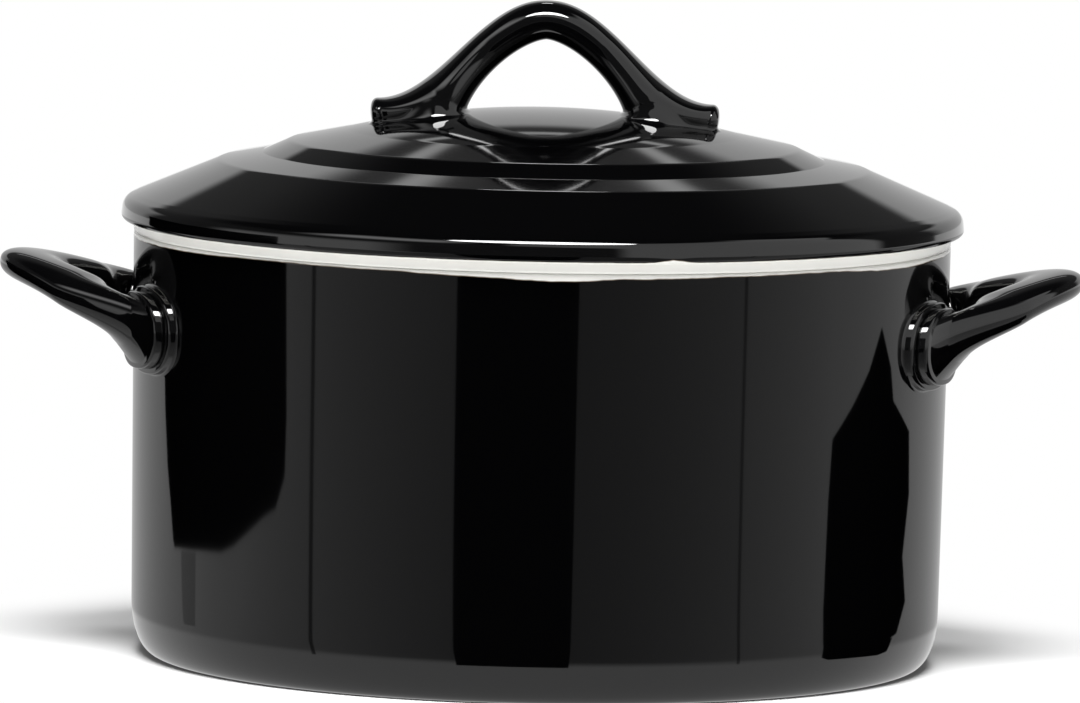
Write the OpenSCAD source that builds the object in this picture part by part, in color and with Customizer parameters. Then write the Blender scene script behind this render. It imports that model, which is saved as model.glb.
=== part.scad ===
// Round casserole pot with a lid, in enamelled steel: black outside, white inside.
// The origin is the middle of the pot's base, Z is up, and the side handles lie along X.

/* [Pot] */
// Outer diameter of the pot at its rim
pot_d = 244; // [210:1:290]
// Height of the pot from the table to its rim
pot_h = 126; // [95:1:180]
// Thickness of the enamelled steel sheet of the pot
wall_t = 1.8; // [1.4:0.1:2.6]
// How much smaller the wall's radius is at the foot than at the rim
wall_draft = 1.4; // [0.4:0.1:4]
// Width of the rounded corner between base and wall
corner_w = 6.8; // [5:0.1:14]
// Height of the rounded corner between base and wall
corner_h = 16; // [8:0.5:30]
// Rounding of the outer edge of the rim
rim_round = 0.8; // [0.3:0.1:0.8]

/* [Lid] */
// Thickness of the enamelled steel sheet of the lid
lid_t = 1.7; // [1.4:0.1:2]
// Height of the white skirt that stands on the pot's rim
skirt_h = 3.4; // [2.4:0.1:6]
// How far the rolled edge stands out beyond the skirt
bead_out = 4; // [3.4:0.1:6]
// Height of the widest point of the rolled edge above the skirt
bead_up = 1.7; // [1.4:0.1:2.4]
// Clearance between the locating ring and the inside of the pot
ring_clear = 1.6; // [0.6:0.1:3]
// Depth of the locating ring below the rim
ring_depth = 6; // [3:0.5:12]
// Distance of the outer shoulder from the pot's outer radius
outer_shoulder_in = 25; // [20:1:32]
// Height of the outer shoulder above the rim
outer_shoulder_h = 21.7; // [18:0.1:23]
// Distance of the foot of the inner riser from the pot's outer radius
riser_foot_in = 38; // [35:1:41]
// Height of the foot of the inner riser above the rim
riser_foot_h = 24.2; // [23.4:0.1:26]
// Distance of the inner shoulder from the pot's outer radius
inner_shoulder_in = 46; // [44:1:52]
// Height of the inner shoulder above the rim
inner_shoulder_h = 27.9; // [27:0.1:29.5]
// Distance of the edge of the crown from the pot's outer radius
crown_in = 63; // [56:1:70]
// Height of the edge of the crown above the rim
crown_edge_h = 31.4; // [30:0.1:33]
// Height of the crown above its own edge
crown_rise = 6.9; // [4:0.1:12]

/* [Lid handle] */
// Overall length of the handle
arch_len = 105.4; // [90:0.1:112]
// Depth of the handle at the top, from front to back
arch_depth = 20; // [14:0.5:26]
// Thickness of the handle at the top
arch_t = 11.6; // [8:0.1:16]
// Width of the opening where it meets the lid
opening_w = 48.4; // [40:0.1:56]
// Height of the opening above the lid
opening_h = 22; // [16:0.5:40]
// Thickness of the foot near its end
arch_foot_t = 7.2; // [6:0.1:10]
// Depth of the foot at its widest, from front to back
arch_foot_depth = 28; // [20:0.5:34]

/* [Side handles] */
// How far the handle stands out beyond the rim's radius
side_reach = 40; // [34:0.5:56]
// Distance between the middles of the two feet of one handle
side_spacing = 83; // [76:1:100]
// Drop of the feet's middle below the rim
side_drop = 26.5; // [18:0.5:34]
// Rise from the feet's middle to the middle of the grip
side_rise = 14.5; // [4:0.1:20]
// Rise from the feet's middle to the middle of the leg, half way to the grip
mid_rise = 10; // [2:0.1:14]
// Rise from the feet's middle to the middle of the leg, beside the foot
root_rise = 2.5; // [0:0.1:6]
// Width of the grip at its outer end
grip_w = 20.4; // [14:0.1:24]
// Thickness of the grip at its outer end
grip_t = 9.8; // [7:0.1:14]
// Thickness of the leg half way to the grip
mid_t = 10.8; // [8:0.1:16]
// Thickness of the leg beside the foot
root_t = 15.5; // [12:0.1:18]
// Width of the leg at its root
leg_w = 25.4; // [20:0.1:30]
// Height of the leg where it leaves the raised ring
leg_h = 19.5; // [16:0.1:23]
// Width of the foot on the wall
foot_w = 35; // [32:0.5:44]
// Height of the foot on the wall
foot_h = 26; // [25:0.5:34]
// Thickness of the foot's flange
flange_t = 2.6; // [2:0.1:5]
// Thickness of the raised ring between flange and leg
collar_t = 2.8; // [2.2:0.1:5]

/* [Hidden] */
enamel_black = "#15171a";
grip_black = "#1f2226";

$fn = 96;
pot_r = pot_d / 2;
rim_inner_r = pot_r - wall_t;

// Rounding of the corners of the lid's steps
shoulder_round = 7;
riser_foot_round = 9;
// Corner above the rolled edge: how far it lies inside the widest radius, and above the widest point
bead_lean = 0.7;
bead_tall = 4.4;
// End of the straight outer slope, in from that corner and above it
slope_end_in = 4;
slope_end_up = 1.9;
// Roundings of the rolled edge, outside and inside
bead_round = 4;
bead_lip_round = 1.9;
bead_inner_round = 2;
bead_inner_drop = 1.1;
// Roundings where the sheet is folded, and of the locating ring's lower edge
fold_round = 0.5;
fold_inner_round = 0.3;
ring_root_round = 1;
ring_end_round = 0.7;
// Points on each rounded corner and on the long arcs
corner_steps = 6;
crown_steps = 12;
ellipse_steps = 14;

// Points round a handle's section, and the squareness of that section
section_points = 28;
section_power = 2.4;
// How deep the handles reach into what they are cut to fit
seat_depth = 2.5;
// Tilt of the grip, with its outer edge up
grip_tilt = 9;
// Rounding of the edges of flange and raised ring, and depth of the groove between them
foot_edge = 0.5;
groove = 0.9;
// How deep the middle of the leg would reach into the wall at the foot
leg_sink = 1.5;
// Shape of the loop seen from above, outwards and sideways: two times 1 is an ellipse
loop_power = 2.3;
loop_side_power = 1.1;
// How far outside the feet's middles the loop's curve starts
loop_flare = 3;
// How fast the leg widens from the grip to the root
leg_flare = 2;
arch_steps = 15;
leg_steps = 17;
cap_steps = 5;
// Angle along the loop at which the leg starts; the grip is at 0
leg_start = 54;

// Shape helpers

// A corner p of a path, between the points a and b, rounded with radius r
function corner(a, p, b, r, n = corner_steps) =
    let(u = (a - p) / norm(a - p),
        v = (b - p) / norm(b - p),
        half = acos(max(-1, min(1, u * v))) / 2,
        reach = min(r / tan(half), norm(a - p) * 0.49, norm(b - p) * 0.49),
        radius = reach * tan(half),
        mid = (u + v) / norm(u + v),
        centre = p + mid * radius / sin(half),
        from = p + u * reach - centre,
        side = sign(u[0] * v[1] - u[1] * v[0]),
        sweep = 180 - 2 * half)
    [for (i = [0:n]) let(t = side * -sweep * i / n)
        centre + [from[0] * cos(t) - from[1] * sin(t), from[0] * sin(t) + from[1] * cos(t)]];

// A path through corners given as [x, y, radius]; its two ends stay sharp
function rounded(pts) =
    let(last = len(pts) - 1, xy = function(i) [pts[i][0], pts[i][1]])
    [for (i = [0:last])
        each (i == 0 || i == last || pts[i][2] == 0) ? [xy(i)]
            : corner(xy(i - 1), xy(i), xy(i + 1), pts[i][2])];

// Unit normal of a path at point i, on its right-hand side
function path_normal(p, i) =
    let(d = p[min(i + 1, len(p) - 1)] - p[max(i - 1, 0)])
    [d[1], -d[0]] / norm(d);

// Rounded-rectangle-like section with half sizes a and b
function section(a, b) =
    [for (i = [0:section_points - 1])
        let(t = 360 * i / section_points, c = cos(t), s = sin(t))
        [a * sign(c) * pow(abs(c), 2 / section_power),
         b * sign(s) * pow(abs(s), 2 / section_power)]];

// A solid skinned over rings that all have the same number of points
module skin(rings) {
    n = len(rings[0]);
    m = len(rings);
    polyhedron(
        points = [for (ring = rings) each ring],
        faces = concat(
            [[for (i = [n - 1:-1:0]) i]],
            [for (k = [0:m - 2], i = [0:n - 1]) let(j = (i + 1) % n)
                each [[k * n + i, (k + 1) * n + j, (k + 1) * n + i],
                      [k * n + i, k * n + j, (k + 1) * n + j]]],
            [[for (i = [0:n - 1]) (m - 1) * n + i]]));
}

// Pot

// Outer radius of the pot's wall at height z above the corner
function wall_r(z) = pot_r - wall_draft * (pot_h - z) / pot_h;

// Corner of the pot as a quarter of an ellipse, with the base level at z0
function pot_corner(edge_r, w, h, z0) =
    [for (i = [0:ellipse_steps]) let(t = 90 * i / ellipse_steps)
        [edge_r - w + w * sin(t), z0 + h * (1 - cos(t))]];

function reversed(p) = [for (i = [len(p) - 1:-1:0]) p[i]];

module pot_body() {
    outer = pot_corner(wall_r(corner_h), corner_w, corner_h, 0);
    inner = pot_corner(wall_r(corner_h) - wall_t, corner_w - wall_t, corner_h - wall_t, wall_t);
    rim = rounded([
        [wall_r(corner_h), corner_h, 0],
        [pot_r, pot_h, rim_round],
        [rim_inner_r, pot_h, rim_round],
        [wall_r(corner_h) - wall_t, corner_h, 0]]);
    color(enamel_black)
    rotate_extrude()
        polygon(concat([[0, 0]], outer, [for (i = [1:len(rim) - 2]) rim[i]],
            reversed(inner), [[0, wall_t]]));
}

// Lid

crown_r = pot_r - crown_in;
crown_base = pot_h + crown_edge_h;
// Radius of the sphere that the crown is part of
crown_sphere = (pow(crown_r, 2) + pow(crown_rise, 2)) / (2 * crown_rise);

// Height of the crown at distance r from the middle of the lid
function crown_z(r) =
    crown_base + crown_rise - crown_sphere + sqrt(pow(crown_sphere, 2) - r * r);

crown_arc = [for (i = [0:crown_steps]) let(r = crown_r * i / crown_steps) [r, crown_z(r)]];

bead_r = pot_r + bead_out;
skirt_top = pot_h + skirt_h;
// Upper corner of the rolled edge, where the outer slope turns down
bead_corner = [bead_r - bead_lean, skirt_top + bead_up + bead_tall];

// The steps between crown and rolled edge
lid_steps = rounded([
    [crown_r, crown_base, 0],
    [pot_r - inner_shoulder_in, pot_h + inner_shoulder_h, shoulder_round],
    [pot_r - riser_foot_in, pot_h + riser_foot_h, riser_foot_round],
    [pot_r - outer_shoulder_in, pot_h + outer_shoulder_h, shoulder_round],
    [bead_corner[0] - slope_end_in, bead_corner[1] + slope_end_up, 0]]);

lid_top = concat(crown_arc, [for (i = [1:len(lid_steps) - 1]) lid_steps[i]]);

ring_r = rim_inner_r - ring_clear;

// The rolled edge, the skirt and the locating ring, outside face
lid_edge_outside = rounded([
    lid_top[len(lid_top) - 1],
    [bead_corner[0], bead_corner[1], bead_round],
    [bead_r, skirt_top, bead_lip_round],
    [pot_r, skirt_top, fold_round],
    [pot_r, pot_h, rim_round],
    [ring_r, pot_h, fold_round],
    [ring_r, pot_h - ring_depth, ring_end_round],
    [ring_r - lid_t, pot_h - ring_depth, 0]]);

// The same edge, inside face, from the ring's bottom up to the underside of the lid
lid_edge_inside = rounded([
    [ring_r - lid_t, pot_h - ring_depth, 0],
    [ring_r - lid_t, pot_h + lid_t, ring_root_round],
    [pot_r - lid_t, pot_h + lid_t, fold_inner_round],
    [pot_r - lid_t, skirt_top + lid_t, fold_round],
    [bead_r - lid_t, skirt_top + lid_t, fold_inner_round],
    [bead_corner[0] - lid_t, bead_corner[1] - bead_inner_drop, bead_inner_round],
    lid_top[len(lid_top) - 1] + lid_t * path_normal(lid_top, len(lid_top) - 1)]);

lid_under = [for (i = [0:len(lid_top) - 1]) i == 0
    ? lid_top[0] - [0, lid_t]
    : lid_top[i] + lid_t * path_normal(lid_top, i)];

module lid_shell() {
    color(enamel_black)
    rotate_extrude()
        polygon(concat(lid_top, [for (i = [1:len(lid_edge_outside) - 1]) lid_edge_outside[i]],
            [for (i = [1:len(lid_edge_inside) - 2]) lid_edge_inside[i]], reversed(lid_under)));
}

// Lid handle: a bell-shaped arch with an opening like a pointed ellipse

// Height of the lid's outside at distance r from the middle
function lid_z(r) = lookup(r, lid_top);

opening_r = opening_w / 2;
opening_power = 1.5;
// Where the points of the opening lie: more than 1 puts them closer together at the top
opening_pace = 1.3;
seat_z = lid_z(opening_r);
arch_top = seat_z + opening_h + arch_t;
// Rounding of the end of the foot, as seen from the front
foot_end = 2.7;
// Half the length over which the bell curve falls, and how full its shoulders are
bell_r = arch_len / 2 - foot_end;
bell_power = 1.05;
bell_drop = arch_top - lid_z(bell_r) - arch_foot_t;
// Shares of the bell's half length: where the opening meets the lid, and where the foot is deepest
heel = 0.72;
foot_middle = 0.7;
foot_begin = 0.38;
// Depth of the foot at its end, as a share of its widest
foot_end_share = 0.6;
// How far the cut face of the foot shrinks in depth, and leans in at the top
end_shrink = 0.35;
end_lean = 0.4;

function outer_point(u) =
    [bell_r * u, arch_top - bell_drop * (1 - cos(180 * pow(u, bell_power))) / 2];

function inner_point(u) =
    u < heel
    ? let(t = 90 * pow(u / heel, opening_pace))
        [opening_r * pow(sin(t), 2 / opening_power),
         seat_z - seat_depth + (opening_h + seat_depth) * pow(cos(t), 2 / opening_power)]
    : let(x = opening_r + (bell_r - foot_end - opening_r) * (u - heel) / (1 - heel))
        [x, lid_z(x) - seat_depth];

function smooth(t) = let(s = max(0, min(1, t))) s * s * (3 - 2 * s);

// Half the depth of the arch; the foot is an oval, widest at its middle
function arch_half_depth(u) =
    u < foot_middle
    ? (arch_depth + (arch_foot_depth - arch_depth)
        * smooth((u - foot_begin) / (foot_middle - foot_begin))) / 2
    : let(s = (u - foot_middle) / (1 - foot_middle))
        arch_foot_depth / 2 * sqrt(1 - s * s * (1 - pow(foot_end_share, 2)));

// One ring of the arch: out is the outer point and in the inner one; push moves the ring outwards
function arch_ring(out, in, depth, side, shrink = 1, push = 0) =
    let(mid = (out + in) / 2, half = (out - in) / 2)
    [for (q = section(shrink, depth))
        [side * (mid[0] + half[0] * q[0] + push * (1 + (1 - q[0]) * end_lean)),
         q[1], mid[1] + half[1] * q[0]]];

// Rounded end of the foot
function cap_ring(k, side) =
    let(t = 90 * k / cap_steps)
    arch_ring(outer_point(1), inner_point(1),
        arch_half_depth(1) * (1 - end_shrink * (1 - cos(t))), side,
        (1 + cos(t)) / 2, foot_end * sin(t));

module lid_handle() {
    left = concat([for (k = [cap_steps:-1:1]) cap_ring(k, -1)],
        [for (k = [arch_steps:-1:1]) let(u = k / arch_steps)
            arch_ring(outer_point(u), inner_point(u), arch_half_depth(u), -1)]);
    right = concat([for (k = [0:arch_steps]) let(u = k / arch_steps)
            arch_ring(outer_point(u), inner_point(u), arch_half_depth(u), 1)],
        [for (k = [1:cap_steps]) cap_ring(k, 1)]);
    color(grip_black)
    difference() {
        skin(concat(left, right));
        rotate_extrude()
            polygon(concat([[0, pot_h]], lid_top, [[bead_corner[0] - slope_end_in, pot_h]]));
    }
}

// Side handles: a loop that narrows and rises to the grip, with a flange and a raised ring

foot_z = pot_h - side_drop;
foot_y = side_spacing / 2;
foot_x = sqrt(pow(wall_r(foot_z), 2) - pow(foot_y, 2)) - leg_sink;
loop_y = foot_y + loop_flare;
grip_x = pot_r + side_reach - grip_w / 2;

// A point above the foot, at a distance d from the wall
function on_wall(y, z, d) = [sqrt(pow(wall_r(z) + d, 2) - y * y), y, z];

function collar_ring(d, a, b, side) =
    [for (q = section(a, b)) on_wall(side * (foot_y + q[0]), foot_z + q[1], d)];

// Distance from the wall, half width and half height of the rings of the foot
collar = let(
        a = foot_w / 2, b = foot_h / 2,
        c = (foot_w + leg_w) / 4, e = (foot_h + leg_h) / 4,
        end = flange_t + collar_t)
    [[-seat_depth, a, b],
     [flange_t - foot_edge, a, b],
     [flange_t, a - foot_edge, b - foot_edge],
     [flange_t, c - groove, e - groove],
     [flange_t + foot_edge, c, e],
     [end - foot_edge, c, e],
     [end, c - foot_edge, e - foot_edge],
     [end, leg_w / 2, leg_h / 2]];

// A curve through the values at 0, a half and 1
function through(start, middle, end, s) =
    start * (1 - s) * (1 - 2 * s) + middle * 4 * s * (1 - s) + end * s * (2 * s - 1);

// How far out a place of the loop lies, from 0 at the wall to 1 at the grip
function outward(t) = pow(cos(t), loop_power);

// One ring of the leg and grip; t runs from one foot over 0 at the grip to the other
function leg_ring(t) =
    let(f = outward(t),
        s = (f - outward(leg_start)) / (1 - outward(leg_start)),
        turn = max(abs(sin(t)), 0.001),
        cx = foot_x + (grip_x - foot_x) * f,
        cy = loop_y * sign(t) * pow(turn, loop_side_power),
        cz = foot_z + through(root_rise, mid_rise, side_rise, s),
        along = [loop_y * loop_side_power * pow(turn, loop_side_power - 1) * cos(t),
                 (grip_x - foot_x) * loop_power * pow(cos(t), loop_power - 1) * sin(t)],
        n = along / norm(along),
        a = (grip_w + (leg_w - grip_w) * pow(1 - s, leg_flare)) / 2,
        b = through(root_t, mid_t, grip_t, s) / 2,
        tilt = grip_tilt * f * f,
        blend = smooth(2 * s),
        round_r = norm([cx, cy]))
    [for (q = section(a, b))
        let(flat = [cx + n[0] * q[0] * cos(tilt), cy + n[1] * q[0] * cos(tilt)],
            y = cy + q[0] * (t > 0 ? 1 : -1),
            bent = [sqrt(round_r * round_r - y * y), y])
        [for (p = [bent + (flat - bent) * blend])
            [p[0], p[1], cz + q[1] + q[0] * sin(tilt)]][0]];

module side_handle() {
    legs = [for (k = [-leg_steps:leg_steps]) leg_ring(leg_start * k / leg_steps)];
    color(grip_black)
    difference() {
        skin(concat([for (r = collar) collar_ring(r[0], r[1], r[2], -1)], legs,
            [for (r = reversed(collar)) collar_ring(r[0], r[1], r[2], 1)]));
        rotate_extrude()
            polygon([[0, corner_h], [wall_r(corner_h), corner_h], [pot_r, pot_h], [0, pot_h]]);
    }
}

module side_handle_right() side_handle();

module side_handle_left() rotate([0, 0, 180]) side_handle();

pot_body();
lid_shell();
lid_handle();
side_handle_right();
side_handle_left();
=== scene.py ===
# %% [markdown]
# A round casserole pot in black enamelled steel
#
# The object is a drawn steel pot with a pressed lid and three handles, all dipped in glass enamel:
# glossy black outside, white inside. A packed CAD model gives its pieces at their real size. This
# lesson dresses them: smooth meshes where gloss would show every facet, enamel shaders, a small
# studio and a camera. Objects are in metres, in the CAD model's own frame, and the sizes of the
# pieces are written in millimetres, as a maker would.

import math

import bmesh
import bpy
import numpy as np
from mathutils import Matrix, Vector
from mathutils.bvhtree import BVHTree


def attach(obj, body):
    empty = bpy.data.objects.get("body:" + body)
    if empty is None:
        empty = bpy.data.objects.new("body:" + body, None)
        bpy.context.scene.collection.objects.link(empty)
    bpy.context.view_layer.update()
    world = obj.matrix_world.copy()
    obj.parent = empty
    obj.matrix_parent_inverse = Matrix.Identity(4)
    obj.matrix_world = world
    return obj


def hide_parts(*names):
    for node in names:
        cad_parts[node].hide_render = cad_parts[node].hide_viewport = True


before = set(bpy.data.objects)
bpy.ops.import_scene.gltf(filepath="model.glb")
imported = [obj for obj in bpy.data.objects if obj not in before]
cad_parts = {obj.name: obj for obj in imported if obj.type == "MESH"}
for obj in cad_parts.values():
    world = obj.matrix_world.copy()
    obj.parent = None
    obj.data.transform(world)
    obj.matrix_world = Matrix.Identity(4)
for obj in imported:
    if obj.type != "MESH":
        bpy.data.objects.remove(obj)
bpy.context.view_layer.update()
MM = 0.001
print("nodes:", sorted(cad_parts))

# %% [markdown]
# The camera
#
# The photograph was taken from about three and a half metres away through a long lens, a few
# degrees above the table, and it is rolled by about one degree. Those values were found by fitting
# the ellipses of the rim and of the base. A camera looks along its own -Z axis, so it is turned up
# from looking straight down, and the roll is a turn about that same axis.

# %% Camera at the photograph's viewing angle
CAMERA_PLACE = (0.0, -3.480, 0.4314)
CAMERA_PITCH = math.radians(5.578)
CAMERA_ROLL = math.radians(1.21)
SENSOR_WIDTH = 36.0
LENS = 389.8

camera_data = bpy.data.cameras.new("photo_camera")
camera_data.sensor_width = SENSOR_WIDTH
camera_data.lens = LENS
camera_data.clip_start = 0.1
camera_data.clip_end = 60.0
camera = bpy.data.objects.new("photo_camera", camera_data)
bpy.context.scene.collection.objects.link(camera)
camera.matrix_world = (Matrix.Translation(CAMERA_PLACE)
                       @ Matrix.Rotation(math.pi / 2 - CAMERA_PITCH, 4, "X")
                       @ Matrix.Rotation(CAMERA_ROLL, 4, "Z"))
bpy.context.scene.camera = camera
bpy.context.scene.view_settings.view_transform = "Standard"
print("camera at", CAMERA_PLACE, "with a lens of", LENS, "mm")

# %% [markdown]
# Paths with rounded corners
#
# Nearly everything here starts as a path: the cut through the pot's wall, the steps of the lid, the
# edge of a flange. Sheet steel has no sharp corners, so a path is written as its corners, each with
# a radius, and a helper replaces the corner by an arc. Gloss shows the smallest kink, so a second
# helper adds points along the straights, close together beside each arc.


# %% Rounding a path
LONGEST_REACH = 0.49


def arc_at(before, point, after, radius, steps=12):
    """The corner at point, between two neighbours, as an arc of the given radius."""
    u = (before - point) / np.linalg.norm(before - point)
    v = (after - point) / np.linalg.norm(after - point)
    half = math.acos(max(-1.0, min(1.0, float(u @ v)))) / 2
    room = LONGEST_REACH * min(np.linalg.norm(before - point), np.linalg.norm(after - point))
    reach = min(radius / math.tan(half), room)
    middle = (u + v) / np.linalg.norm(u + v)
    centre = point + middle * reach / math.cos(half)
    start, end = point + u * reach - centre, point + v * reach - centre
    sweep = math.acos(max(-1.0, min(1.0, float(start @ end) / float(start @ start))))
    return [centre + (math.sin((1 - t) * sweep) * start + math.sin(t * sweep) * end) / math.sin(sweep)
            for t in np.linspace(0, 1, steps + 1)]


def rounded(corners, steps=12):
    """A path through corners written as (x, y, radius). Its two ends stay sharp."""
    points = [np.array(c[:2], float) for c in corners]
    path = [points[0]]
    for i in range(1, len(points) - 1):
        if corners[i][2] > 0:
            path += arc_at(points[i - 1], points[i], points[i + 1], corners[i][2], steps)
        else:
            path.append(points[i])
    return path + [points[-1]]


corner = rounded([(0, 0, 0), (9, 0, 5), (9, 9, 0)])
print("a path with one corner of radius 5 has", len(corner), "points")

# %% Filling its straights
STRAIGHT = 1.2
FIRST_STOP, SECOND_STOP = 0.25, 0.6


def filled(path, longest=5.0):
    """The same path with extra points on its long straights, close together at their ends."""
    result = [path[0]]
    for a, b in zip(path, path[1:]):
        length = float(np.linalg.norm(b - a))
        if length > STRAIGHT:
            count = max(2, int(length / longest) + 1)
            stops = [FIRST_STOP, *np.linspace(SECOND_STOP, length - SECOND_STOP, count),
                     length - FIRST_STOP]
            result += [a + (b - a) * s / length for s in stops]
        result.append(b)
    return np.array(result)


print("with its straights filled it has", len(filled(corner)))

# %% [markdown]
# Meshes from rings
#
# A pot is turned from its cut, and a handle is swept along its own line: both are stacks of rings
# with the same number of points. One function joins such a stack with quads and closes both ends.
# Edges are marked sharp by their angle, and a number can be stored for each point, which the enamel
# shader reads later.

# %% Skin a stack of rings
SHARP_ANGLE = math.radians(40)
WHITE_SIDE = "white_side"


def quads(count, around):
    """The side faces of a stack of rings, as point numbers."""
    return [(k * around + i, k * around + (i + 1) % around,
             (k + 1) * around + (i + 1) % around, (k + 1) * around + i)
            for k in range(count - 1) for i in range(around)]


def closed_stack(rings):
    """Points and faces of the skin over rings, with a fan of triangles on each end."""
    count, around = rings.shape[:2]
    points = np.concatenate([rings.reshape(-1, 3), [rings[0].mean(0), rings[-1].mean(0)]])
    low, high, last = count * around, count * around + 1, (count - 1) * around
    fans = [fan for i in range(around) for j in [(i + 1) % around]
            for fan in ((low, j, i), (high, last + i, last + j))]
    return points, quads(count, around) + fans


def skinned(name, *stacks, values=None):
    """A mesh object over stacks of rings, arrays of (ring, point, xyz) in millimetres."""
    points, faces = np.empty((0, 3)), []
    for rings in stacks:
        more_points, more_faces = closed_stack(rings)
        faces += [tuple(len(points) + i for i in face) for face in more_faces]
        points = np.concatenate([points, more_points])
    mesh = bpy.data.meshes.new(name)
    mesh.from_pydata((points * MM).tolist(), [], faces)
    if values is not None:
        ends = [values[0].mean(), values[-1].mean()]
        attribute = mesh.attributes.new(WHITE_SIDE, "FLOAT", "POINT")
        attribute.data.foreach_set("value", np.concatenate([values.ravel(), ends]).astype("f"))
    work = bmesh.new()
    work.from_mesh(mesh)
    bmesh.ops.recalc_face_normals(work, faces=work.faces)
    work.to_mesh(mesh)
    work.free()
    mesh.shade_smooth()
    mesh.set_sharp_from_angle(angle=SHARP_ANGLE)
    piece = bpy.data.objects.new(name, mesh)
    bpy.context.scene.collection.objects.link(piece)
    print(name, "has", len(mesh.polygons), "faces")
    return piece


# %% Turn a path about the Z axis
AROUND = 288


def turned(path):
    """The rings of a path of (radius, height) turned about the Z axis."""
    turn = np.linspace(0, 2 * math.pi, AROUND, endpoint=False)
    radius, height = path[:, 0, None], path[:, 1, None]
    return np.stack([radius * np.sin(turn), -radius * np.cos(turn), height + 0 * turn], axis=-1)


def run_along(path):
    """The distance from the start of a path to each of its points."""
    return np.concatenate([[0], np.cumsum(np.linalg.norm(np.diff(path, axis=0), axis=1))])


print("each turned ring has", AROUND, "points")

# %% [markdown]
# The pot
#
# The real pot is drawn from one disc of steel: a flat base, a tight corner with the outline of a
# quarter ellipse, a wall with a little draft, and an edge that was rounded before it was enamelled.
# The cut is turned about Z. Black enamel reaches nearly to the rim, and there the white coat of the
# inside laps over it in a wavy line. So each point also gets its distance from that line.

# %% Pot: sizes and cut
POT_R = 122.0
POT_H = 126.0
WALL = 1.8
DRAFT = 1.4
CORNER_W = 6.8
CORNER_H = 16.0
RIM_ROUND = 0.8
CORNER_POINTS = 28
MIDDLE_R = 0.5


def wall_r(z):
    """Outer radius of the wall at height z."""
    return POT_R - DRAFT * (POT_H - z) / POT_H


def base_corner(edge_r, width, height, level):
    """The corner between base and wall, a quarter of an ellipse."""
    return [np.array([edge_r - width + width * math.sin(t), level + height * (1 - math.cos(t))])
            for t in np.linspace(0, math.pi / 2, CORNER_POINTS)]


edge_r = wall_r(CORNER_H)
pot_outside = [np.array([MIDDLE_R, 0.0])] + base_corner(edge_r, CORNER_W, CORNER_H, 0)
pot_rim = rounded([(edge_r, CORNER_H, 0), (POT_R, POT_H, RIM_ROUND),
                   (POT_R - WALL, POT_H, RIM_ROUND), (edge_r - WALL, CORNER_H, 0)])
pot_inside = base_corner(edge_r - WALL, CORNER_W - WALL, CORNER_H - WALL, WALL)[::-1]
pot_path = filled(pot_outside + pot_rim[1:-1] + pot_inside + [np.array([MIDDLE_R, WALL])])
print("the pot's cut has", len(pot_path), "points")

# %% [markdown]
# The drip line
#
# The white coat was poured and left to run before firing, so its edge hangs lower in some places.
# A few places around the rim, each an angle from the front and a drop in millimetres, set how far it
# hangs, and the line between them is smoothed.

# %% Pot: drip line and mesh
DRIPS = [(-180, 1.5), (-150, 2.2), (-120, 1.3), (-90, 1.9), (-58, 1.4), (-38, 1.0), (-21, 1.1),
         (-9, 1.8), (2, 2.6), (13, 1.8), (29, 1.3), (43, 1.1), (58, 2.1), (74, 1.5), (105, 1.2),
         (140, 2.0)]


def hanging(places, angle):
    """How far the enamel hangs at an angle in degrees, smoothed between its places."""
    at = np.array([p[0] for p in places] + [places[0][0] + 360])
    drop = np.array([p[1] for p in places] + [places[0][1]])
    i = np.clip(np.searchsorted(at, angle, side="right") - 1, 0, len(at) - 2)
    share = (angle - at[i]) / (at[i + 1] - at[i])
    return drop[i] + (drop[i + 1] - drop[i]) * share * share * (3 - 2 * share)


around_angle = (np.degrees(np.linspace(0, 2 * math.pi, AROUND, endpoint=False)) + 180) % 360 - 180
pot_run = run_along(pot_path)
# Of the points at the very top, the outer one is where the white coat is measured from.
OUTER_FIRST = 0.001
to_top = np.abs(pot_path[:, 1] - POT_H) - OUTER_FIRST * pot_path[:, 0]
rim_top = pot_run[int(np.argmin(to_top))]
pot_white = pot_run[:, None] - rim_top + hanging(DRIPS, around_angle)[None, :]
pot = skinned("enamelled_pot", turned(pot_path), values=pot_white)
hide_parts("pot_body")
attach(pot, "root")

# %% [markdown]
# The lid
#
# The lid is pressed from one sheet, 1.7 mm thick with its enamel: a shallow domed crown, two flat
# steps with soft shoulders, a steeper outer slope and a rolled edge that stands out over the pot.
# The outside of the dome is one path, and its inside is the same path moved in by the sheet's
# thickness. The inner corner below the upper step is pressed tight, so it shows no bright line.

# %% Lid: crown and steps
LID_T = 1.7
CROWN_R = 59.0
CROWN_BASE = POT_H + 31.4
CROWN_RISE = 6.9
CROWN_SPHERE = (CROWN_R ** 2 + CROWN_RISE ** 2) / (2 * CROWN_RISE)
SHOULDER_ROUND = 7.0
STEP_FOOT_ROUND = 2.0
CROWN_POINTS = 52


def crown_z(r):
    """Height of the crown at a distance r from the middle."""
    return CROWN_BASE + CROWN_RISE - CROWN_SPHERE + np.sqrt(CROWN_SPHERE ** 2 - r * r)


crown = [np.array([r, crown_z(r)]) for r in np.linspace(MIDDLE_R, CROWN_R, CROWN_POINTS)]
steps = rounded([(CROWN_R, CROWN_BASE, 0), (76, 153.9, SHOULDER_ROUND), (84, 150.2, STEP_FOOT_ROUND),
                 (97, 147.7, SHOULDER_ROUND), (121.3, 137.4, 0)])
dome = filled(crown + steps[1:])
slope = np.gradient(dome, axis=0)
slope /= np.linalg.norm(slope, axis=1)[:, None]
dome_under = dome + LID_T * np.stack([slope[:, 1], -slope[:, 0]], axis=1)
print("crown radius, mm:", round(CROWN_SPHERE, 1))

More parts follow.
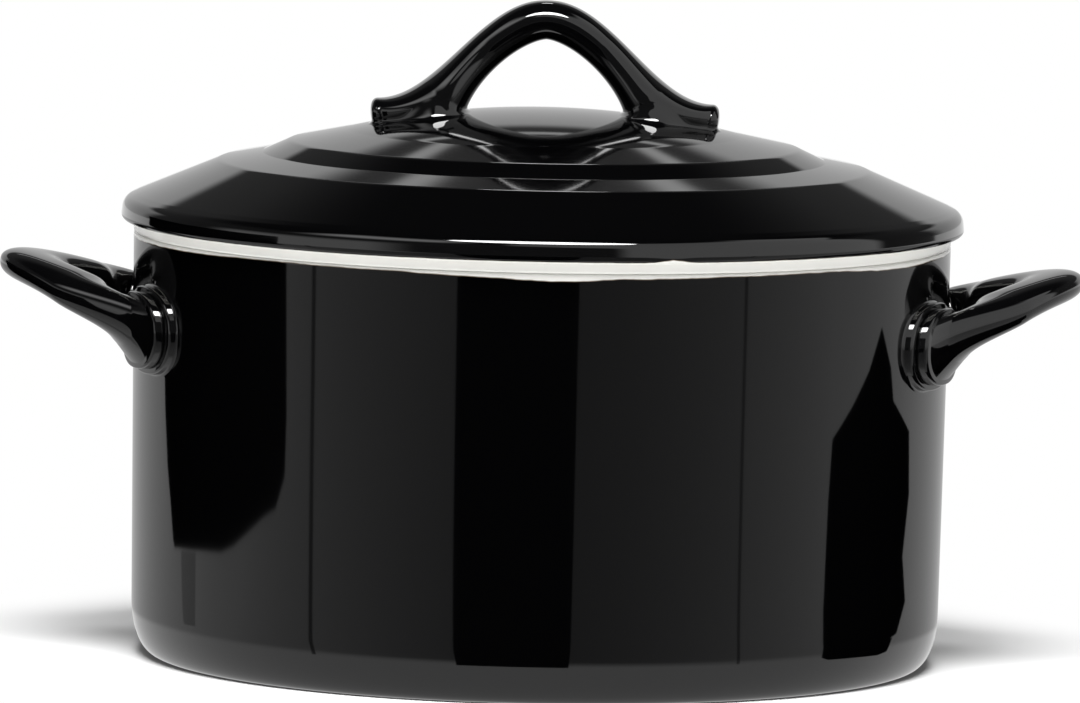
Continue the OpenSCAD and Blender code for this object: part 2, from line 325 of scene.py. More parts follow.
# %% [markdown]
# The lid's edge
#
# The sheet is rolled out over the pot, folded back below it and set on the rim: that white skirt is
# what a cook sees between lid and pot. A ring inside the pot's mouth keeps the lid in place. The
# three paths, dome, edge and inside, join into one closed cut. The inside is never seen from near,
# so it keeps every second point only.

# %% Lid: rolled edge, skirt and ring
SKIRT_TOP = POT_H + 3.4
EDGE_R = POT_R + 4.0
RING_R = POT_R - WALL - 1.6
RING_LOW = POT_H - 6.0
COAT_INSET = 1.2
edge_outside = rounded([
    (*dome[-1], 0), (125.3, 135.5, 4), (EDGE_R, SKIRT_TOP, 1.9), (POT_R, SKIRT_TOP, 0.5),
    (POT_R, POT_H, RIM_ROUND), (RING_R, POT_H, 0.5), (RING_R, RING_LOW, 0.7),
    (RING_R - LID_T, RING_LOW, 0.7), (RING_R - LID_T, POT_H + LID_T, 1),
    (POT_R - LID_T, POT_H + LID_T, 0.3), (POT_R - LID_T, SKIRT_TOP + LID_T, 0.5),
    (EDGE_R - LID_T, SKIRT_TOP + LID_T, 0.4), (123.6, 134.4, 2), (*dome_under[-1], 0)], steps=8)
lid_path = np.concatenate([dome[:-1], filled(edge_outside), dome_under[-3::-2]])
lid_run = run_along(lid_path)
border_gap = lid_path - (EDGE_R - COAT_INSET, SKIRT_TOP)
border = int(np.argmin(np.abs(border_gap).sum(axis=1)))
print("the lid's cut has", len(lid_path), "points")

# %% [markdown]
# A drip on the lid
#
# The lid's white coat ends in a nearly straight line below the rolled edge. At one place a thick drop
# has run over it and was fired there, so it is shape and not only colour.

# %% Lid: mesh with the drip on its edge
LID_DRIPS = [(-180, 0.2), (-140, -0.2), (-95, 0.3), (-60, 0.1), (-30, -0.2), (5, 0.1), (14, 0.0),
             (17.5, 1.3), (21, 0.0), (50, 0.2), (90, -0.2), (135, 0.1)]
DRIP_ANGLE = 17.5
DRIP_HALF_WIDTH = 2.2
DRIP_HALF_HEIGHT = 1.5
DRIP_THICK = 0.5

lid_rings = turned(lid_path)
drip = np.exp(-((around_angle[None, :] - DRIP_ANGLE) / DRIP_HALF_WIDTH) ** 2
              - ((lid_run[:, None] - lid_run[border]) / DRIP_HALF_HEIGHT) ** 2)
lid_rings[:, :, :2] *= 1 + (DRIP_THICK / EDGE_R * drip)[:, :, None]
lid_white = lid_run[:, None] - lid_run[border] + hanging(LID_DRIPS, around_angle)[None, :]
lid = skinned("enamelled_lid", lid_rings, values=lid_white)
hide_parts("lid_shell")
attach(lid, "root")

# %% [markdown]
# Sections of the handles
#
# The handles feel cast: their section is between an ellipse and a rounded rectangle. A superellipse
# gives that with one power. Each handle is a stack of such sections that turn, swell and flatten
# along its line.

# %% Section and easing
SECTION_POINTS = 120
SECTION_POWER = 2.4
section_turn = np.linspace(0, 2 * math.pi, SECTION_POINTS, endpoint=False)


def section(a, b):
    """Across and up coordinates of a section with half sizes a and b."""
    c, s = np.cos(section_turn), np.sin(section_turn)
    power = 2 / SECTION_POWER
    return a * np.sign(c) * np.abs(c) ** power, b * np.sign(s) * np.abs(s) ** power


def smooth(t):
    """0 up to t = 0 and 1 from t = 1, with a soft change between."""
    t = max(0.0, min(1.0, t))
    return t * t * (3 - 2 * t)


print("a section has", SECTION_POINTS, "points")

# %% [markdown]
# The lid's handle
#
# It is a bell-shaped arch whose ends spread into flat feet on the crown. The outside follows half a
# wave of a cosine, and the opening below is a pointed half ellipse. Between the two lies one section
# of the handle, so both curves can be drawn as they look from the front.

# %% Lid handle: its two curves
ARCH_LEN = 105.4
ARCH_DEPTH = 20.0
ARCH_T = 11.6
OPENING_R = 24.2
OPENING_H = 22.0
OPENING_POWER = 1.5
OPENING_PACE = 1.3
FOOT_T = 7.2
FOOT_DEPTH = 28.0
FOOT_END = 2.7
FOOT_MIDDLE, FOOT_BEGIN, FOOT_END_SHARE = 0.7, 0.38, 0.6
BELL_POWER = 1.05
HEEL = 0.72
SINK = 2.5

bell_r = ARCH_LEN / 2 - FOOT_END
seat = crown_z(OPENING_R)
arch_top = seat + OPENING_H + ARCH_T
bell_drop = arch_top - crown_z(bell_r) - FOOT_T


def bell_point(u):
    """The outside of the arch; u runs from 0 at the top to 1 at the foot."""
    wave = 1 - math.cos(math.pi * u ** BELL_POWER)
    return np.array([bell_r * u, arch_top - bell_drop * wave / 2])


def opening_point(u):
    """The opening down to the heel, then the bottom of the foot, inside the crown."""
    if u < HEEL:
        t = math.pi / 2 * (u / HEEL) ** OPENING_PACE
        rise = max(0, math.cos(t)) ** (2 / OPENING_POWER)
        return np.array([OPENING_R * math.sin(t) ** (2 / OPENING_POWER),
                         seat - SINK + (OPENING_H + SINK) * rise])
    x = OPENING_R + (bell_r - FOOT_END - OPENING_R) * (u - HEEL) / (1 - HEEL)
    return np.array([x, crown_z(x) - SINK])


def arch_half_depth(u):
    """Half the depth from front to back; the foot is an oval, widest at its middle."""
    if u < FOOT_MIDDLE:
        share = smooth((u - FOOT_BEGIN) / (FOOT_MIDDLE - FOOT_BEGIN))
        return (ARCH_DEPTH + (FOOT_DEPTH - ARCH_DEPTH) * share) / 2
    share = (u - FOOT_MIDDLE) / (1 - FOOT_MIDDLE)
    return FOOT_DEPTH / 2 * math.sqrt(1 - share ** 2 * (1 - FOOT_END_SHARE ** 2))


print("the arch drops from", round(arch_top, 1), "to", round(float(bell_point(1)[1]), 1), "mm")

# %% [markdown]
# Rings of the arch
#
# Each ring joins a point of the outer curve to one of the opening. Past the foot's end the rings
# shrink along a quarter turn, which rounds the edge all the way round, and the last ones close in a
# low dome. Only one half is worked out, and the other is its mirror image.

# %% Lid handle: rings
END_DOME = 0.5
END_TURN = math.radians(72)
END_NARROW = 0.35
END_LEAN = 0.4
ARCH_RINGS, TURN_RINGS, DOME_RINGS = 110, 26, 12
LAST_CORE = 0.08


def arch_ring(u, turn=0.0, core=1.0):
    """One ring of the right half; turn rounds the end of the foot, and core closes its dome."""
    outer, inner = bell_point(u), opening_point(u)
    middle, half = (outer + inner) / 2, (outer - inner) / 2
    shrink, push = math.cos(turn), (FOOT_END - END_DOME) * math.sin(turn)
    depth = arch_half_depth(u) * (1 - END_NARROW + END_NARROW * shrink)
    up, across = section(core * (1 + shrink) / 2, core * depth)
    lean = push * (1 + END_LEAN - END_LEAN * up)
    x = middle[0] + half[0] * up + lean + END_DOME * (1 - core ** 2)
    return np.stack([x, across, middle[1] + half[1] * up], axis=-1)


half_arch = [arch_ring(u) for u in np.linspace(0, 1, ARCH_RINGS)]
half_arch += [arch_ring(1, turn) for turn in np.linspace(0, END_TURN, TURN_RINGS)[1:]]
half_arch += [arch_ring(1, END_TURN, core) for core in np.linspace(1, LAST_CORE, DOME_RINGS)[1:]]
other_half = [ring * (-1, 1, 1) for ring in half_arch[:0:-1]]
arch_rings = np.array(other_half + half_arch)
print("the lid's handle has", len(arch_rings), "rings")

# %% [markdown]
# Enamel in the corner between foot and lid
#
# The handle is welded on before the whole lid is dipped, and the glass pools in the corner around
# each foot. That small hollow fillet catches the light, so a handle without it looks as if it only
# stood there. The crown is a sphere: measured as height above it, it becomes a flat floor, and rays
# sent outwards over that floor from inside the foot find the foot's outline. A hollow quarter
# circle is then added around the outline, thickest beside the arch's legs, where most glass pools.
# The first and the last ring of the stack are hidden in the lid and in the foot.

# %% Lid handle: outline of a foot
THIN_FILLET = 1.7
THICK_FILLET = 6.4
THICK_AT = math.radians(112)
THICK_WIDTH = math.radians(26)
FILLET_STEPS = 16
FOOT_CENTRE = 39.0
FOOT_RAYS = 240
LOWEST_RAY = 0.05

foot_turn = np.linspace(-math.pi, math.pi, FOOT_RAYS, endpoint=False)
fillet_r = THIN_FILLET + (THICK_FILLET - THIN_FILLET) * np.exp(
    -((np.abs(foot_turn) - THICK_AT) / THICK_WIDTH) ** 2)


def above_crown(points):
    """The same points with their height measured from the crown."""
    r = np.linalg.norm(points[..., :2], axis=-1)
    return np.concatenate([points[..., :2], (points[..., 2] - crown_z(r))[..., None]], axis=-1)


flat_points, flat_faces = closed_stack(above_crown(arch_rings))
arch_tree = BVHTree.FromPolygons(flat_points.tolist(), flat_faces)


def fillet_ring(height, out):
    """The right foot's outline at heights above the crown, widened by out, one value to a ray."""
    plan = []
    for turn, up, wider in zip(foot_turn, height, out):
        way = Vector((math.cos(turn), math.sin(turn), 0))
        reach = arch_tree.ray_cast(Vector((FOOT_CENTRE, 0, max(up, LOWEST_RAY))), way)[3] + wider
        plan.append((FOOT_CENTRE + reach * way.x, reach * way.y))
    plan = np.array(plan)
    return np.column_stack([plan, height + crown_z(np.linalg.norm(plan, axis=1))])


print("the fillet is", THIN_FILLET, "to", round(float(fillet_r.max()), 1), "mm")

# %% Lid handle: fillets and mesh
BELOW_CROWN = 0.2
INTO_FOOT = 1.5
LAP = 0.1
SEAT_SINK = 0.3

hollow = [fillet_ring(fillet_r * (1 - math.cos(t)), fillet_r * (1 - math.sin(t)))
          for t in np.linspace(0, math.pi / 2, FILLET_STEPS)]
fillet = np.array([fillet_ring(0 * fillet_r - BELOW_CROWN, fillet_r + LAP)] + hollow
                  + [fillet_ring(fillet_r - LAP, 0 * fillet_r - INTO_FOOT)])
arch_r = np.linalg.norm(arch_rings[:, :, :2], axis=2)
arch_rings[:, :, 2] = np.maximum(arch_rings[:, :, 2], crown_z(arch_r) - SEAT_SINK)
arch = skinned("enamelled_lid_handle", arch_rings, fillet, fillet * (-1, 1, 1))
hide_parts("lid_handle")
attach(arch, "root")

# %% [markdown]
# The side handles
#
# Each one is a loop that leaves the wall through a flange and a raised ring, rises outwards and
# narrows to a flat grip. The foot is drawn first, as a cut through its stepped edge, and every point
# of that cut becomes a ring that follows the round wall at the same distance.

# %% Side handle: sizes
FOOT_Z = POT_H - 26.5
FOOT_Y = 41.5
ROOT_SINK = 1.5
FOOT_X = math.sqrt(wall_r(FOOT_Z) ** 2 - FOOT_Y ** 2) - ROOT_SINK
GRIP_W, GRIP_T, GRIP_TILT = 20.4, 9.8, math.radians(9)
GRIP_X = POT_R + 40.0 - GRIP_W / 2
LEG_W, LEG_H = 25.4, 19.5
FLANGE_W, FLANGE_H, FLANGE_T = 35.0, 26.0, 2.6
COLLAR_W, COLLAR_T = (FLANGE_W + LEG_W) / 2, 2.8
GROOVE = 0.9
FILLET = 1.6
FOOT_TOP = FLANGE_T + COLLAR_T
print("the loop reaches from", round(FOOT_X, 1), "to", GRIP_X + GRIP_W / 2, "mm")

# %% Side handle: foot
half_collar = (COLLAR_W - FLANGE_W) / 2
half_leg = (LEG_W - FLANGE_W) / 2
foot_cut = filled(rounded([
    (FILLET, -0.3, 0), (FILLET, 0, 0), (0, 0, FILLET), (0, FLANGE_T, 0.8),
    (half_collar - GROOVE, FLANGE_T, 0.35), (half_collar, FLANGE_T + 0.4, 0.3),
    (half_collar, FOOT_TOP, 0.8), (half_leg - 0.3, FOOT_TOP, 0.5)], steps=8), longest=1.5)
print("the cut through a foot has", len(foot_cut), "points")


def foot_ring(out, distance, side):
    """A ring that follows the wall, at a distance from it; out is 0 at the flange's edge."""
    share = min(1.0, max(0.0, out / half_leg))
    widen = max(0.0, out)
    across, up = section(FLANGE_W / 2 + half_leg * share + widen,
                         FLANGE_H / 2 + (LEG_H - FLANGE_H) / 2 * share + widen)
    y, z = side * (FOOT_Y + across), FOOT_Z + up
    return np.stack([np.sqrt((wall_r(z) + distance) ** 2 - y ** 2), y, z], axis=-1)


# %% [markdown]
# Leg and grip
#
# The loop's line comes from a cosine and a sine with powers, which make it leave the wall steeply and
# turn softly. How far it rises and how thick it is each pass through three values: at the foot,
# halfway and at the grip. Near the wall its section has to follow the round wall, and at the grip it
# lies flat with a slight tilt, so the rings blend from one to the other. The left loop is the right
# one turned half way round, as on the real pot.

# %% Side handle: leg and grip
LOOP_POWER, LOOP_SIDE_POWER = 2.3, 1.1
LOOP_Y = FOOT_Y + 3.0
LEG_START = math.radians(54)
RISES = (2.5, 10.0, 14.5)
THICKNESSES = (15.5, 10.8, GRIP_T)
LOOP_RINGS = 150


def through(values, s):
    """A curve through three values, at 0, a half and 1."""
    start, middle, end = values
    return start * (1 - s) * (1 - 2 * s) + middle * 4 * s * (1 - s) + end * s * (2 * s - 1)


def leg_ring(t):
    """One ring of the loop; t runs from one foot over the grip at 0 to the other foot."""
    out, root = math.cos(t) ** LOOP_POWER, math.cos(LEG_START) ** LOOP_POWER
    s = (out - root) / (1 - root)
    turn = max(abs(math.sin(t)), 0.001)
    side = 1 if t > 0 else -1
    centre = np.array([FOOT_X + (GRIP_X - FOOT_X) * out, LOOP_Y * side * turn ** LOOP_SIDE_POWER])
    normal = np.array([
        LOOP_Y * LOOP_SIDE_POWER * turn ** (LOOP_SIDE_POWER - 1) * math.cos(t),
        (GRIP_X - FOOT_X) * LOOP_POWER * math.cos(t) ** (LOOP_POWER - 1) * math.sin(t)])
    normal /= np.linalg.norm(normal)
    across, up = section((GRIP_W + (LEG_W - GRIP_W) * (1 - s) ** 2) / 2, through(THICKNESSES, s) / 2)
    tilt = GRIP_TILT * out * out
    flat = [centre[0] + normal[0] * across * math.cos(tilt),
            centre[1] + normal[1] * across * math.cos(tilt)]
    y = centre[1] + across * side
    x = np.sqrt(centre @ centre - y * y)
    blend = smooth(2 * s)
    return np.stack([x + (flat[0] - x) * blend, y + (flat[1] - y) * blend,
                     FOOT_Z + through(RISES, s) + up + across * math.sin(tilt)], axis=-1)


foot = [foot_ring(out, distance, -1) for out, distance in foot_cut]
other_foot = [foot_ring(out, distance, 1) for out, distance in foot_cut[::-1]]
loop = [leg_ring(t) for t in np.linspace(-LEG_START, LEG_START, LOOP_RINGS)]
loop_rings = np.array(foot + loop + other_foot)
side_handles = []
for side, node in ((1, "side_handle_right"), (-1, "side_handle_left")):
    handle = skinned("enamelled_" + node, loop_rings * (side, side, 1))
    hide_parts(node)
    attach(handle, "root")
    side_handles.append(handle)

# %% [markdown]
# Shader arithmetic
#
# A shader is a graph, but most of it is plain arithmetic. Wrapping a socket in a small class lets
# Python's own operators add the Math nodes, so a mask reads like the formula that it is. Every other
# kind of node comes from one method, which sets the node up first and then fills its sockets.


# %% A socket that can be calculated with
class Wire:
    """One output socket of a node tree. Arithmetic on it adds Math nodes."""

    def __init__(self, tree, socket=None):
        self.tree = tree
        self.socket = socket

    def node(self, kind, settings=None, sockets=None, output=0):
        """Add a node: its type, its settings, then the values or links of its sockets."""
        made = self.tree.nodes.new(kind)
        for name, value in (settings or {}).items():
            setattr(made, name, value)
        for name, value in (sockets or {}).items():
            if isinstance(value, Wire):
                self.tree.links.new(value.socket, made.inputs[name])
            else:
                made.inputs[name].default_value = value
        return Wire(self.tree, made.outputs[output] if made.outputs else None)

    def math(self, operation, first, second):
        """A Math node of two values."""
        return self.node("ShaderNodeMath", {"operation": operation}, {0: first, 1: second})

    def __add__(self, other):
        return self.math("ADD", self, other)

    __radd__ = __add__

    def __sub__(self, other):
        return self.math("SUBTRACT", self, other)

    def __rsub__(self, other):
        return self.math("SUBTRACT", other, self)

    def __mul__(self, other):
        return self.math("MULTIPLY", self, other)

    __rmul__ = __mul__

    def rise(self, start, end):
        """0 up to start and 1 from end, with a soft change between."""
        return self.node("ShaderNodeMapRange", {"interpolation_type": "SMOOTHSTEP"},
                         {"Value": self, "From Min": start, "From Max": end})


print("a wire knows", ", ".join(name for name in vars(Wire) if not name.startswith("__")))

# %% [markdown]
# Enamel
#
# Vitreous enamel is a layer of glass on steel. A black one has hardly any colour of its own and
# shows nearly only what it reflects, a white one scatters light below its surface. Both have the
# sharp reflection of glass, bent a little by a slow waviness left from firing. Where the white coat
# laps over the black one its thin edge looks brown.

# %% Colours and helpers of the enamel
BLACK = (0.0006, 0.0006, 0.0007, 1)
WORN_BLACK = (0.0014, 0.0014, 0.0016, 1)
WHITE = (0.80, 0.795, 0.76, 1)
LAP_BROWN = (0.16, 0.115, 0.075, 1)
GLASS_IOR = 1.52


def start_material(name):
    """A material with an empty node tree, and a wire to start its nodes from."""
    material = bpy.data.materials.new(name)
    material.use_nodes = True
    material.node_tree.nodes.clear()
    return material, Wire(material.node_tree)


def noise(wire, scale, detail=2.0):
    """Noise of object coordinates; the scale is in waves to the metre."""
    place = wire.node("ShaderNodeTexCoord", output=3)
    return wire.node("ShaderNodeTexNoise", None,
                     {"Vector": place, "Scale": scale, "Detail": detail, "Roughness": 0.5})


def mixed(wire, factor, first, second):
    """A colour between two colours."""
    return wire.node("ShaderNodeMix", {"data_type": "RGBA"},
                     {"Factor": factor, 6: first, 7: second}, output=2)


def enamel_surface(wire, colour, roughness, height):
    """The shader of all enamel: a glass coat with a bump of the given height in metres."""
    bump = wire.node("ShaderNodeBump", None, {"Height": height, "Distance": 1.0, "Strength": 1.0})
    surface = wire.node("ShaderNodeBsdfPrincipled", None, {
        "Base Color": colour, "Roughness": roughness, "IOR": GLASS_IOR, "Normal": bump})
    wire.node("ShaderNodeOutputMaterial", None, {"Surface": surface})


print("the glass bends light by", GLASS_IOR)

# %% [markdown]
# Two coats on one piece
#
# The pot and the lid carry both colours. The meshes hold each point's distance from the edge of the
# white coat, in millimetres, so the shader only adds a fine unevenness to that number and turns it
# into masks: one for the white, one for the brown edge just below it, and one for the small step of
# the coat's thickness. White enamel is a little less mirror-like than black.

# %% Black outside, white inside
RAGGED, RAGGED_WAVES = 0.7, 130.0
WHITE_FROM, LAP_FROM, STEP_FROM = (-0.12, 0.16), (-0.30, -0.02), (-0.4, 0.4)
COAT_STEP = 0.00003
CLOUD_WAVES, SLOW_WAVES = 35.0, 22.0
ROUGH, ROUGH_CLOUD, ROUGH_WHITE = 0.035, 0.03, 0.08


def two_coats(name, wave):
    """Black enamel below the drip line and white enamel above it."""
    material, wire = start_material(name)
    side = wire.node("ShaderNodeAttribute", {"attribute_name": WHITE_SIDE}, output=2)
    edge = side + RAGGED * (noise(wire, RAGGED_WAVES) - 0.5)
    white = edge.rise(*WHITE_FROM)
    dark = mixed(wire, edge.rise(*LAP_FROM), BLACK, LAP_BROWN)
    colour = mixed(wire, white, dark, WHITE)
    roughness = ROUGH + ROUGH_CLOUD * noise(wire, CLOUD_WAVES) + ROUGH_WHITE * white
    height = wave * noise(wire, SLOW_WAVES, 1.0) + COAT_STEP * edge.rise(*STEP_FROM)
    enamel_surface(wire, colour, roughness, height)
    return material


def wear(piece, material):
    """Give a piece its one material."""
    piece.data.materials.clear()
    piece.data.materials.append(material)
    print(piece.name, "wears", material.name)


SHEET_WAVE = 0.00002
wear(pot, two_coats("pot_two_coat_enamel", SHEET_WAVE))
wear(lid, two_coats("lid_two_coat_enamel", SHEET_WAVE))

# %% [markdown]
# The handles' coat
#
# The handles are black all over and the smoothest pieces, because glass runs thick over a round form.
# Hands dull them a little, so clouds of slightly paler black are mixed in.

# %% Black all over
HANDLE_WAVES = 60.0
HANDLE_WAVE = 0.00001
HANDLE_ROUGH = 0.025


def black_coat(name, wave):
    """Black enamel all over, for the handles."""
    material, wire = start_material(name)
    cloud = noise(wire, HANDLE_WAVES)
    colour = mixed(wire, cloud, BLACK, WORN_BLACK)
    roughness = HANDLE_ROUGH + ROUGH_CLOUD * cloud
    enamel_surface(wire, colour, roughness, wave * noise(wire, HANDLE_WAVES, 1.0))
    return material


handle_material = black_coat("handle_black_enamel", HANDLE_WAVE)
for piece in (arch, *side_handles):
    wear(piece, handle_material)

# %% [markdown]
# The studio
#
# Black enamel shows the studio more than itself. The pot stands on a large white table under a
# softbox above and in front of it. A tall white sheet hangs on the right, a low white wall and a
# bright window stand on the left, a backdrop stands behind, and the rest of the room is dark. Only
# reflections see these levels: the camera looks at plain white past the pot.
#
# The table comes first. It is lit where the camera sees it near the pot, so the soft shadow is kept,
# and plain white further away. Reflections see it bright close to the wall and on both sides, and
# darker toward the front. From below it is clear, so the base can be looked at.

# %% Table
TABLE_SIZE = 30.0
TABLE_Z = -0.0001
TABLE_WHITE = 0.86
TABLE_NEAR = 0.9
TABLE_SIDE = 0.62
TABLE_FRONT = 0.19
TABLE_FAR = 1.0
TABLE_CENTRE = (0, -0.6 * POT_R * MM, 0)
FAR_FROM, FRONT_FROM = (1.3, 1.6), (0.75, 0.95)
NEAR_RING = (POT_R * MM + 0.026, POT_R * MM + 0.045)
PLAIN_FROM = (0.122, 0.21)

table_mesh = bpy.data.meshes.new("table")
table_mesh.from_pydata([(x * TABLE_SIZE, y * TABLE_SIZE, TABLE_Z) for x, y in
                        ((-1, -1), (1, -1), (1, 1), (-1, 1))], [], [(0, 1, 2, 3)])
table = bpy.data.objects.new("table", table_mesh)
bpy.context.scene.collection.objects.link(table)
print("the table is", 2 * TABLE_SIZE, "m wide")


# %% Table: its levels
def ray(wire, output):
    """Light Path's answer: 0 seen by the camera, 1 shadow, 2 diffuse, 3 glossy."""
    return wire.node("ShaderNodeLightPath", output=output)


def vector(wire, operation, first, second=(0, 0, 0), output=0):
    """A Vector Math node; its output 1 is a number."""
    return wire.node("ShaderNodeVectorMath", {"operation": operation}, {0: first, 1: second},
                     output=output)


def table_glow(wire, place, distance):
    """What reflections see on the table: darker toward the front, bright close to the wall."""
    way = vector(wire, "NORMALIZE", vector(wire, "SUBTRACT", place, TABLE_CENTRE))
    frontal = wire.math("MAXIMUM", vector(wire, "DOT_PRODUCT", way, (0, -1, 0), 1), 0)
    level = TABLE_SIDE - (TABLE_SIDE - TABLE_FRONT) * frontal
    level += (TABLE_FAR - level) * distance.rise(*FAR_FROM) * (1 - frontal.rise(*FRONT_FROM))
    return TABLE_NEAR + (level - TABLE_NEAR) * distance.rise(*NEAR_RING)


def table_material():
    """White table: lit near the pot, plain white further away, and clear from below."""
    material, wire = start_material("white_table")
    place = wire.node("ShaderNodeTexCoord", output=3)
    distance = vector(wire, "LENGTH", place, output=1)
    lit = wire.node("ShaderNodeBsdfDiffuse", None, {"Color": (TABLE_WHITE,) * 3 + (1,)})
    plain = wire.node("ShaderNodeEmission", None, {"Color": (1, 1, 1, 1)})
    glow = wire.node("ShaderNodeEmission", None, {
        "Color": (1, 1, 1, 1), "Strength": table_glow(wire, place, distance)})
    near = wire.node("ShaderNodeMixShader", None, {
        0: distance.rise(*PLAIN_FROM) * ray(wire, 0), 1: lit, 2: plain})
    upper = wire.node("ShaderNodeMixShader", None, {0: ray(wire, 3), 1: near, 2: glow})
    below = wire.node("ShaderNodeNewGeometry", output=6)
    clear = wire.node("ShaderNodeBsdfTransparent")
    surface = wire.node("ShaderNodeMixShader", None, {0: below, 1: upper, 2: clear})
    wire.node("ShaderNodeOutputMaterial", None, {"Surface": surface})
    return material


wear(table, table_material())

# %% [markdown]
# The world
#
# The world holds what stands further away, as a formula of a ray's direction: its azimuth from the
# front and its elevation, both in degrees. Each light area is a product of soft steps. A world
# picture would need a file, and big lamps would light the pot as well as show in it: a formula is
# seen by reflections only, and an even ambient level does the lighting.

# %% World: direction of a ray
world = bpy.data.worlds.new("studio")
world.use_nodes = True
world.node_tree.nodes.clear()
sky = Wire(world.node_tree)


def sky_axis(axis):
    """One coordinate of the ray's direction."""
    return sky.node("ShaderNodeSeparateXYZ", None,
                    {0: sky.node("ShaderNodeTexCoord", output=0)}, output=axis)


def between(value, start, end, soft):
    """1 between start and end, 0 outside, with soft borders."""
    return value.rise(start - soft, start + soft) * (1 - value.rise(end - soft, end + soft))


azimuth = math.degrees(1) * sky.math("ARCTAN2", sky_axis(0), -1 * sky_axis(1))
elevation = math.degrees(1) * sky.math("ARCSINE", sky_axis(2), 0)
behind = sky.math("ABSOLUTE", azimuth, 0)
print("nodes for a ray's direction:", len(world.node_tree.nodes))

# %% World: behind the pot
BACKDROP, BACKDROP_FROM, BACKDROP_TOP = 0.6, (132, 144), (18.5, 22)
RAIL, RAIL_FROM, RAIL_LOW, RAIL_HIGH, RAIL_SOFT = 0.8, (170, 173), 23.8, 25.0, 0.4
ROOM_DARK, ROOM_LOW, ROOM_TOP = 0.01, 0.07, (30, 46)

backdrop = behind.rise(*BACKDROP_FROM) * (BACKDROP * (1 - elevation.rise(*BACKDROP_TOP)))
rail = RAIL * behind.rise(*RAIL_FROM) * between(elevation, RAIL_LOW, RAIL_HIGH, RAIL_SOFT)
room = ROOM_DARK + ROOM_LOW * (1 - elevation.rise(*ROOM_TOP))
print("the backdrop is", BACKDROP, "and the room above it", ROOM_DARK)

# %% World: sheet on the right
SHEET, SHEET_SOFT, SHEET_TOP = 1.0, 3, (58, 66)
SHEET_START, START_SHIFT, START_SHIFT_FROM = 22, -32, (22, 32)
SHEET_END, END_SHIFT, END_SHIFT_FROM = 105, 18, (40, 48)

sheet_start = SHEET_START + START_SHIFT * elevation.rise(*START_SHIFT_FROM)
sheet_end = SHEET_END + END_SHIFT * elevation.rise(*END_SHIFT_FROM)
sheet = SHEET * between(azimuth, sheet_start, sheet_end, SHEET_SOFT) * (
    1 - elevation.rise(*SHEET_TOP))
print("the sheet spans", SHEET_END - SHEET_START, "degrees at the table")

# %% World: wall and window on the left, and the whole
LEFT_WALL, WALL_START, WALL_END, WALL_SOFT, WALL_TOP = 1.05, -98, -42, 9, (8, 24)
WINDOW, WINDOW_START, WINDOW_END, WINDOW_SOFT = 2.4, -78, -28, 10
WINDOW_LOW, WINDOW_HIGH, WINDOW_EDGE = 38, 55, 8
AMBIENT = 0.28

left_wall = LEFT_WALL * between(azimuth, WALL_START, WALL_END, WALL_SOFT) * (
    1 - elevation.rise(*WALL_TOP))
window = WINDOW * between(azimuth, WINDOW_START, WINDOW_END, WINDOW_SOFT) * between(
    elevation, WINDOW_LOW, WINDOW_HIGH, WINDOW_EDGE)
reflected = room + backdrop + rail + sheet + left_wall + window
level = ray(sky, 0) + ray(sky, 2) * AMBIENT + ray(sky, 3) * reflected
sky.node("ShaderNodeOutputWorld", None, {"Surface": sky.node(
    "ShaderNodeBackground", None, {"Color": (1, 1, 1, 1), "Strength": level})})
bpy.context.scene.world = world
print("nodes in the world:", len(world.node_tree.nodes))

# %% [markdown]
# Two oval lamps
#
# The softbox makes the white spots on the arch, the flanges and the rolled edge, and its soft shadow.
# A much smaller and weaker lamp behind draws the fine line along the lid's upper step. An oval shape
# keeps the ends of those lines soft.


# %% Lamps
LAMP_AIM = Vector((0, 0, 0.1))


def toward(azimuth, elevation):
    """A direction; azimuth is in degrees from the front, toward the right-hand side."""
    a, e = math.radians(azimuth), math.radians(elevation)
    return Vector((math.sin(a) * math.cos(e), -math.cos(a) * math.cos(e), math.sin(e)))


def softbox(name, azimuth, elevation, distance, width, height, radiance):
    """An oval lamp that faces the pot; the radiance is what its reflection shows."""
    data = bpy.data.lights.new(name, "AREA")
    data.shape = "ELLIPSE"
    data.size, data.size_y = width, height
    data.energy = radiance * math.pi * width * height * math.pi / 4
    lamp = bpy.data.objects.new(name, data)
    bpy.context.scene.collection.objects.link(lamp)
    way = toward(azimuth, elevation)
    lamp.location = LAMP_AIM + way * distance
    lamp.rotation_euler = way.to_track_quat("Z", "Y").to_euler()
    lamp.visible_camera = False
    print(name, "gives", round(data.energy, 1), "W")


softbox("front_softbox", azimuth=0, elevation=60, distance=1.2,
        width=0.80, height=0.42, radiance=36.0)
softbox("rear_spot", azimuth=180, elevation=36, distance=1.6,
        width=0.16, height=0.10, radiance=5.0)

# %% [markdown]
# The cards
#
# A curved wall squeezes a wide view into upright bands. Where the wall stands at an angle to the
# camera, its reflection goes off at twice that angle and a little downward. A card's outline is
# given in such directions, and each point is measured from the place on the wall that reflects it.
# A card that lies on the table makes a band as high as the wall, and a standing one a shape with an
# upper border. Full cards draw the black shapes of the photograph, and thin veils draw a darker
# sector, two fine lines and a short streak.


# %% Cards around the pot
def card_point(azimuth, distance, height):
    """A place met by the reflection that leaves the wall toward an azimuth."""
    start = toward(azimuth / 2, 0) * (POT_R * MM)
    spot = start + toward(azimuth, 0) * distance
    return (spot.x, spot.y, height)


def veil(name, cover):
    """A card's material: black over a share of what is behind it."""
    material, wire = start_material(name)
    black = wire.node("ShaderNodeEmission", None, {"Color": (0, 0, 0, 1)})
    clear = wire.node("ShaderNodeBsdfTransparent")
    surface = wire.node("ShaderNodeMixShader", None, {0: cover, 1: clear, 2: black})
    wire.node("ShaderNodeOutputMaterial", None, {"Surface": surface})
    return material


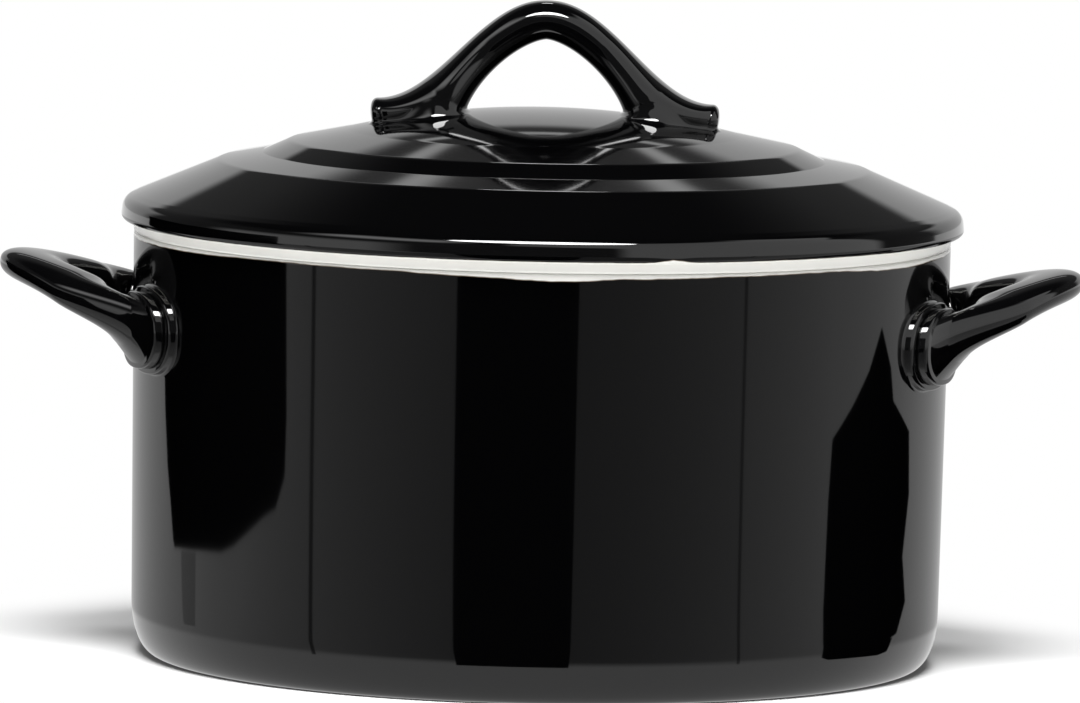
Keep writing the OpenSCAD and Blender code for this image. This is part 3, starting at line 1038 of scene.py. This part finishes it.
def card(name, rows, cover):
    """A sheet over rows of points, seen by reflections only."""
    across = len(rows[0])
    mesh = bpy.data.meshes.new(name)
    faces = [(k * across + i, k * across + i + 1, (k + 1) * across + i + 1, (k + 1) * across + i)
             for k in range(len(rows) - 1) for i in range(across - 1)]
    mesh.from_pydata([card_point(*point) for row in rows for point in row], [], faces)
    piece = bpy.data.objects.new(name, mesh)
    bpy.context.scene.collection.objects.link(piece)
    wear(piece, veil(name + "_veil", cover))
    piece.visible_camera = False
    piece.visible_diffuse = False
    piece.visible_transmission = False
    piece.visible_shadow = False


# %% Cards: lying and standing
CARD_STEPS = 17
LOW_CARD, NEXT_CARD = 0.0004, 0.0008


def sector(name, outline, height=LOW_CARD, cover=1.0):
    """A card that lies on the table; the outline is (distance in m, start, end)."""
    card(name, [[(a, away, height) for a in np.linspace(start, end, CARD_STEPS)]
                for away, start, end in outline], cover)


def upright(name, distance, outline):
    """A standing card, bent around the pot; the outline is (height in mm, start, end)."""
    card(name, [[(a, distance, height * MM) for a in np.linspace(start, end, CARD_STEPS)]
                for height, start, end in outline], 1.0)


sector("front_card", [(0.026, -21.9, 9.9), (1.0, -23.4, 10.5), (6.0, -23.4, 10.5)])
sector("front_right_veil", [(0.03, 9.9, 60.6), (1.0, 10.5, 60), (6.0, 10.5, 60)], cover=0.12)
sector("left_line", [(0.03, -66.3, -65.0), (1.0, -67.3, -66.0), (6.0, -67.3, -66.0)], NEXT_CARD,
       cover=0.75)
sector("right_line", [(0.03, 60.2, 61.2), (1.0, 58.9, 59.9), (6.0, 58.9, 59.9)], NEXT_CARD,
       cover=0.6)
sector("left_streak", [(0.09, -119, -113), (0.28, -121, -113)], NEXT_CARD, cover=0.4)
sector("right_card_foot", [(0.028, 94, 118), (0.035, 91, 123), (0.09, 90.5, 124)], NEXT_CARD)
upright("left_card", 0.29, [(0.3, -125, -101), (2.5, -126, -95.5), (12.5, -127.5, -83.5),
                            (15.5, -128, -79), (26, -130, -75.8), (45, -132, -75.4),
                            (90, -134, -76), (160, -136, -76)])
upright("right_card", 0.09, [(0.5, 90.5, 122), (3, 90.2, 126), (13, 89.8, 131.5), (27, 90, 128.5),
                             (46, 90.3, 131.5), (65, 91.2, 130), (75, 99.5, 119.5),
                             (85, 106.3, 117.5), (97.5, 111.6, 112)])
